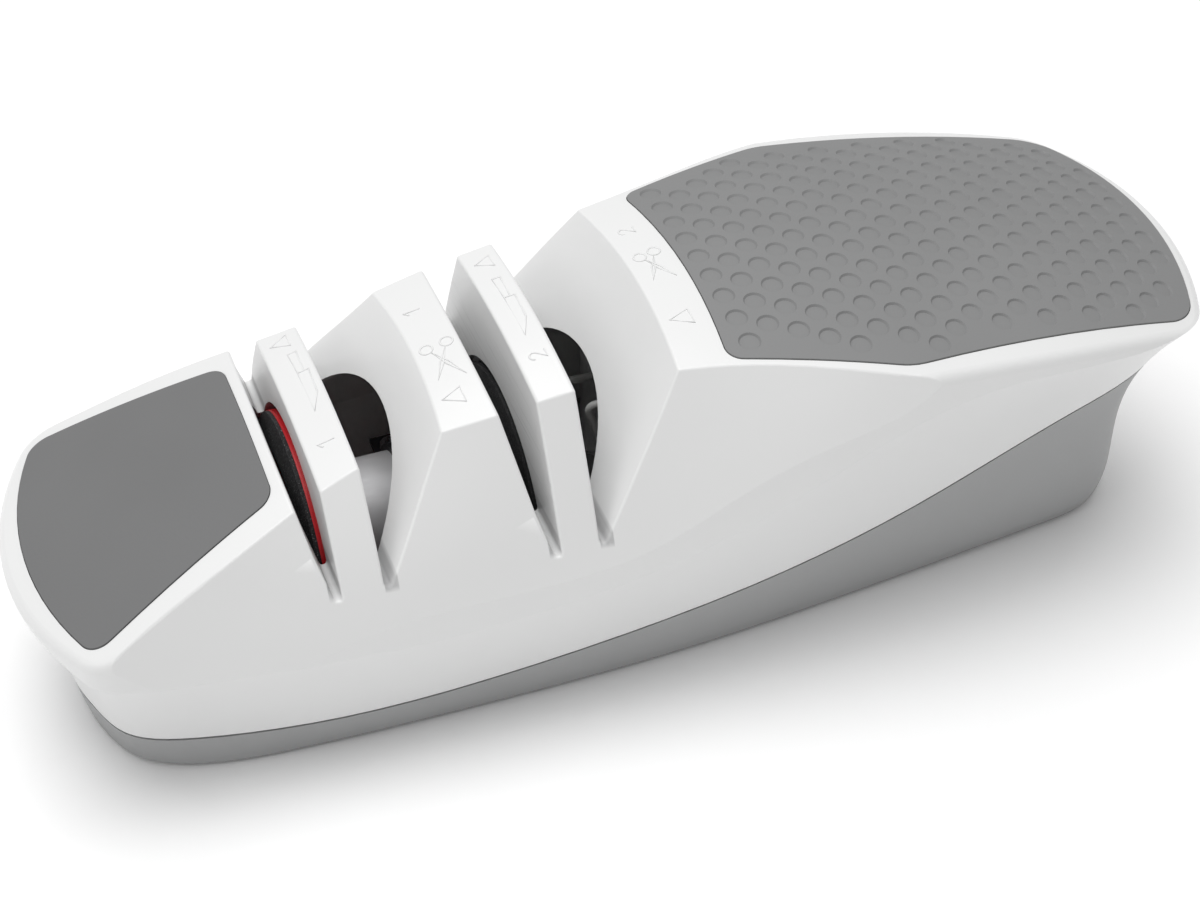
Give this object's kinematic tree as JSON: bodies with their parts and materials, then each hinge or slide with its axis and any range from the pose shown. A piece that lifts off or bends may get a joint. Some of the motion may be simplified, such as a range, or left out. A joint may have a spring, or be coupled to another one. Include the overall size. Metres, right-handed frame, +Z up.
{
  "type": "electric knife sharpener",
  "caption": "Battery-driven sharpener: abrasive wheels behind guide slots for knives and scissors, a rocker switch and a soft dimpled grip.",
  "frame": {"origin": "under the middle of the body's box, on the plane that the feet stand on", "axes": "+X from the nose with the guide slots to the back of the grip, +Y to the side with the switch, +Z up"},
  "size_m": [0.242, 0.084, 0.0764],
  "materials": {
    "white_shell": "glossy",
    "grey_shell": "fine satin",
    "soft_grey": "soft matt",
    "red_plastic": "glossy",
    "dark_plastic": "satin",
    "black_plastic": "satin",
    "abrasive": "gritty",
    "can_steel": "satin grey",
    "steel": "machined",
    "spring_steel": "bright",
    "copper": "copper",
    "bronze": "sintered bronze",
    "ferrite": "matt ferrite",
    "lead_white": "smooth",
    "cell_wrap": "shrink wrap",
    "foot_rubber": "matt"
  },
  "bodies": {
    "case": {"upper_housing": "white_shell", "lower_base": "grey_shell", "nose_pad": "soft_grey", "grip_pad": "soft_grey", "rubber_feet": "foot_rubber", "housing_screws": "steel", "motor_can": "can_steel", "motor_end_bell": "black_plastic", "motor_bushes": "bronze", "motor_magnets": "ferrite", "motor_brushes": "copper", "motor_clamp": "black_plastic", "clamp_screws": "steel", "switch_body": "black_plastic", "rocker_pin": "steel", "switch_terminals": "steel", "battery_cells": "cell_wrap", "battery_contacts": "spring_steel", "battery_springs": "spring_steel", "lead_battery_switch": "lead_white", "lead_switch_motor": "lead_white", "lead_battery_motor": "lead_white"},
    "rotor": {"motor_shaft": "steel", "rotor_core": "steel", "rotor_windings": "copper", "commutator": "copper", "wheel_nuts": "spring_steel", "coarse_wheel_hub": "red_plastic", "coarse_knife_disc": "abrasive", "coarse_scissors_disc": "abrasive", "fine_wheel_hub": "dark_plastic", "fine_knife_disc": "abrasive", "fine_scissors_disc": "abrasive"},
    "rocker": {"switch_rocker": "black_plastic"},
    "door": {"battery_door": "grey_shell"}
  },
  "joints": [
    {"name": "rotor_spin", "type": "hinge", "parent": "case", "child": "rotor", "pos_m": [-0.04, 0, 0.0306], "axis": [1, 0, 0], "continuous": true},
    {"name": "rocker_tip", "type": "hinge", "parent": "case", "child": "rocker", "pos_m": [0.02282, 0.0338, 0.03225], "axis": [-0.0176, -0.2656, -0.9639], "range_deg": [0, 16]},
    {"name": "door_slide", "type": "slide", "parent": "case", "child": "door", "axis": [1, 0, 0], "range_m": [0, 0.005]}
  ]
}
